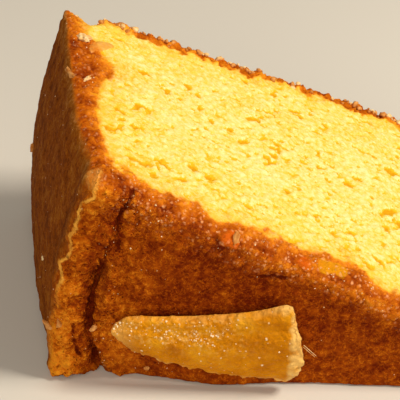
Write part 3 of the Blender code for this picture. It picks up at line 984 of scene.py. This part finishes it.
class CAKE_OT_sugar(bpy.types.Operator):
    """Scatter sugar crystals on the peel and along the syrupy edge of the crust"""

    bl_idname = "cake.sugar"
    bl_label = "Sugar crystals"

    def execute(self, context):
        material = sugar_material()
        peel = bpy.data.objects["peel_strip"]
        grainy = peel.data.attributes["grainy"].data

        def on_peel(place, normal, vertex):
            if normal.y > -0.3:
                return 0.0
            share, across = peel_share(place)
            row = ridge(across - blend(0.45, 0.4, share), 0.26) * (1.0 - smooth(0.45, 0.8, share))
            bare = 0.05 - 0.02 * smooth(0.4, 0.8, share)
            return bare + 0.9 * max(row, 0.2 * grainy[vertex].value)

        spots = scattered(peel, PEEL_SUGAR_TRIES, on_peel, PEEL_SUGAR_SIZES, 3)
        crystals("sugar_on_peel", spots, material)

        cake = bpy.data.objects["slice_crumb_and_crust"]
        moist = cake.data.attributes["moist"].data
        browned = cake.data.attributes["browned"].data

        def on_cake(place, normal, vertex):
            radius = cake_spot(place)[0]
            if place.z < 1 * MM or radius < 15 * MM:
                return 0.0
            bare = 0.004 + 0.03 * ridge(radius - 98 * MM, 5 * MM) * smooth(0.3, 0.7, -normal.y)
            bare *= smooth(0.3, 0.5, browned[vertex].value)
            return max(bare, 0.16 * moist[vertex].value * (0.4 + wavy(place, 3 * MM, 61.0)))

        spots = scattered(cake, CRUST_SUGAR_TRIES, on_cake, CRUST_SUGAR_SIZES, 4)
        crystals("sugar_on_crust", spots, material)
        return {"FINISHED"}


class Flake(NamedTuple):
    """A flake or crumb: where it lies, the way it runs, its length, width, thickness and bend."""

    spot: tuple
    run: tuple
    size: tuple
    bend: float
    pale: bool


# Spots are radius in mm, turn in degrees and height in mm; runs point along the flake
FLAKES = (
    Flake((115.4, 24.7, 45.0), (1.0, 0.1, 0.2), (2.7, 2.3, 1.5), 0.0, True),
    Flake((116.6, 24.3, 32.5), (0.35, -1.0, 0.2), (4.8, 0.9, 0.6), 0.12, False),
    # A pale crumb that catches the light: its paleness is partly a painted highlight
    Flake((113.0, 24.7, 31.4), (0.4, 1.0, 0.0), (1.9, 0.9, 0.7), 0.0, True),
    Flake((108.4, 6.5, 1.0), (1.0, -0.6, -0.3), (2.5, 1.0, 0.8), 0.4, False),
    Flake((106.6, 7.4, 0.0), (0.2, 0.0, 1.0), (1.9, 0.9, 0.8), 0.5, False),
    Flake((100.4, 7.3, 0.0), (0.7, 0.0, 1.0), (1.8, 1.0, 0.8), 0.2, False),
    Flake((90.0, 1.6, 0.0), (1.0, 0.0, 0.3), (1.1, 0.8, 0.7), 0.0, False),
    Flake((81.0, 24.5, 0.3), (0.25, 0.0, 1.0), (2.9, 1.2, 0.5), 0.2, False),
    Flake((119.5, 9.2, 50.0), (0.0, 0.3, 1.0), (1.8, 1.2, 1.0), 0.1, False),
    Flake((111.7, 8.6, 15.2), (0.1, 1.0, 0.4), (1.0, 0.6, 0.4), 0.0, True),
)

# The crumbs along the top of the upper cut: how many, the radii that they gather round and how
# closely, their nearest and furthest radius and their turn, and the share of pale ones; the same units
EDGE_CRUMBS = 110
EDGE_CRUMB_RADII = (112, 104, 96, 84, 75, 52, 40)
EDGE_CRUMB_SPREAD = 5
EDGE_CRUMB_RANGE = (18, 119)
EDGE_CRUMB_TURN = 24.6
EDGE_CRUMB_PALE = 0.25

# The fibres: how far each starts below the first, and how far it reaches
FIBRES = ((0.0, 2.4 * MM), (0.5 * MM, 2.1 * MM))
FIBRE_RADIUS = 0.06 * MM


def flake_material(name, dark, light):
    """Sponge crust, flaked off: dry and matte, uneven in tone."""
    material, tree, shader = new_material(name)
    tone, colour = clouded(tree, 1.2 * MM, 4.0, dark, light)
    tree.links.new(colour, shader.inputs["Base Color"])
    bump = add(tree, "Bump", {"Height": tone, "Distance": 0.2 * MM, "Strength": 0.7})
    tree.links.new(bump, shader.inputs["Normal"])
    shader.inputs["Roughness"].default_value = 0.75
    shader.inputs["Specular IOR Level"].default_value = 0.1
    return material


def spot_size(corner, flake):
    """A place on a unit ball taken to the flake's size in mm."""
    return Vector([part * size for part, size in zip(corner, flake.size)])


class CAKE_OT_flakes(bpy.types.Operator):
    """Lay the loose flakes and crumbs on the slice, and the two fibres at the peel's end"""

    bl_idname = "cake.flakes"
    bl_label = "Flakes and fibres"

    def execute(self, context):
        cake = bpy.data.objects["slice_crumb_and_crust"]
        tree = BVHTree.FromObject(cake, context.evaluated_depsgraph_get())
        pale = flake_material("sponge flake, pale", "#E0AE68", "#FCE6B0")
        brown = flake_material("sponge crust flake, golden brown", "#B8702C", "#E4A45C")
        for light, name in ((True, "flakes_pale"), (False, "flakes_brown")):
            mesh = bmesh.new()
            for flake in (*FLAKES, *self.edge_crumbs()):
                if flake.pale is light:
                    self.lay(mesh, tree, flake)
            data = bpy.data.meshes.new(name)
            mesh.to_mesh(data)
            mesh.free()
            data.shade_smooth()
            data.materials.append(pale if light else brown)
            thing = bpy.data.objects.new(name, data)
            context.collection.objects.link(thing)
            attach(thing, "root")
        self.fibres(context, pale)
        return {"FINISHED"}

    def lay(self, mesh, tree, flake):
        radius, turn, height = flake.spot
        rough = cake_place(radius * MM, math.radians(turn), height * MM)
        place, normal, _, _ = tree.find_nearest(rough)
        run = Vector(flake.run)
        run = (run - normal * run.dot(normal)).normalized()
        across = normal.cross(run)
        length, width, thick = (value * MM for value in flake.size)
        rounds = 4 if flake in FLAKES else 2
        for vertex in bmesh.ops.create_icosphere(mesh, subdivisions=rounds, radius=0.5)["verts"]:
            u, v, w = vertex.co
            lumpy = 1.0 + 0.5 * noise.noise(vertex.co * 4.0 + rough * 900)
            lumpy += 0.4 * noise.noise(spot_size(vertex.co, flake) / 0.7 + rough * 700)
            v += flake.bend * (4.0 * u * u - 0.5) * length / width * 0.5
            spot = run * u * length + across * v * width + normal * w * thick
            vertex.co = kept_inside(place + spot * lumpy + normal * thick * 0.25, *CAD_BOX)

    def edge_crumbs(self):
        """Crumbs of the top crust that the knife tore loose along the upper cut."""
        draw = random.Random(11)
        crumbs = []
        nearest, furthest = EDGE_CRUMB_RANGE
        for _ in range(EDGE_CRUMBS):
            radius = draw.gauss(draw.choice(EDGE_CRUMB_RADII), EDGE_CRUMB_SPREAD)
            radius = min(furthest, max(nearest, radius))
            height = top_height(radius * MM) / MM - draw.triangular(-0.1, 2.4, 0.2)
            size = draw.triangular(0.4, 2.1, 0.6)
            run = tuple(draw.uniform(-1, 1) for _ in range(3))
            shape = (size, size * draw.uniform(0.6, 0.9), size * draw.uniform(0.5, 0.8))
            pale = draw.random() < EDGE_CRUMB_PALE
            crumbs.append(Flake((radius, EDGE_CRUMB_TURN, height), run, shape, 0.1, pale))
        return crumbs

    def fibres(self, context, material):
        curve = bpy.data.curves.new("peel_fibres", "CURVE")
        curve.dimensions = "3D"
        curve.bevel_depth = FIBRE_RADIUS
        start = Vector((PEEL_HIGH.x - 0.3 * MM, PEEL_LOW.y + 1.3 * MM, 12.2 * MM))
        for drop, reach in FIBRES:
            line = curve.splines.new("NURBS")
            line.points.add(3)
            line.use_endpoint_u = True
            for i, point in enumerate(line.points):
                share = i / 3
                spot = start + Vector((reach * share, -0.3 * MM * share, -drop - 0.95 * reach * share))
                point.co = (*spot, 1.0)
                point.radius = 1.0 - 0.5 * share
        thing = bpy.data.objects.new("peel_fibres", curve)
        curve.materials.append(material)
        context.collection.objects.link(thing)
        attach(thing, "root")


class CAKE_OT_stage(bpy.types.Operator):
    """Add the plain floor, the soft lights and the camera of the photographed view"""

    bl_idname = "cake.stage"
    bl_label = "Stage"

    def execute(self, context):
        scene = context.scene
        half = FLOOR_HALF
        mesh = bpy.data.meshes.new("floor")
        corners = [(-half, -half, 0), (half, -half, 0), (half, half, 0), (-half, half, 0)]
        mesh.from_pydata(corners, [], [(0, 1, 2, 3)])
        mesh.materials.append(ground_material())
        floor = bpy.data.objects.new("floor", mesh)
        context.collection.objects.link(floor)

        for name, (place, size, watts) in (("key softbox", KEY_SOFTBOX), ("fill softbox", FILL_SOFTBOX)):
            light = bpy.data.lights.new(name, "AREA")
            light.shape = "SQUARE"
            light.size = size
            light.energy = watts
            light.color = linear(SOFTBOX_COLOUR)[:3]
            lamp = bpy.data.objects.new(name, light)
            context.collection.objects.link(lamp)
            lamp.location = place
            lamp.rotation_euler = (LIT_SPOT - place).to_track_quat("-Z", "Y").to_euler()

        world = bpy.data.worlds.new("studio")
        world.use_nodes = True
        background = world.node_tree.nodes["Background"]
        background.inputs["Color"].default_value = linear(ROOM_COLOUR)
        background.inputs["Strength"].default_value = ROOM_LIGHT
        scene.world = world
        scene.view_settings.view_transform = "Standard"

        eye = bpy.data.cameras.new("camera")
        eye.lens = CAMERA_LENS
        eye.sensor_width = CAMERA_SENSOR
        eye.sensor_fit = "HORIZONTAL"
        eye.clip_start = 0.01
        camera = bpy.data.objects.new("camera", eye)
        context.collection.objects.link(camera)
        camera.location = CAMERA_PLACE
        camera.rotation_euler = (math.pi / 2 - CAMERA_PITCH, 0.0, CAMERA_TURN)
        scene.camera = camera
        return {"FINISHED"}


STEPS = (CAKE_OT_slice, CAKE_OT_peel, CAKE_OT_sugar, CAKE_OT_flakes, CAKE_OT_stage)


class CAKE_PT_panel(bpy.types.Panel):
    """Lists the pieces of the slice"""

    bl_idname = "CAKE_PT_panel"
    bl_label = "Orange cake slice"
    bl_space_type = "VIEW_3D"
    bl_region_type = "UI"
    bl_category = "Cake"

    def draw(self, context):
        for step in STEPS:
            self.layout.operator(step.bl_idname)


CLASSES = (CakeColours, CakeSizes, *STEPS, CAKE_PT_panel)


def register():
    for kind in CLASSES:
        bpy.utils.register_class(kind)
    bpy.types.Scene.cake_colours = bpy.props.PointerProperty(type=CakeColours)
    bpy.types.Scene.cake_sizes = bpy.props.PointerProperty(type=CakeSizes)


def unregister():
    del bpy.types.Scene.cake_sizes
    del bpy.types.Scene.cake_colours
    for kind in reversed(CLASSES):
        bpy.utils.unregister_class(kind)


def main():
    register()
    bpy.ops.cake.slice()
    bpy.ops.cake.peel()
    bpy.ops.cake.sugar()
    bpy.ops.cake.flakes()
    bpy.ops.cake.stage()


if __name__ == "__main__":
    main()
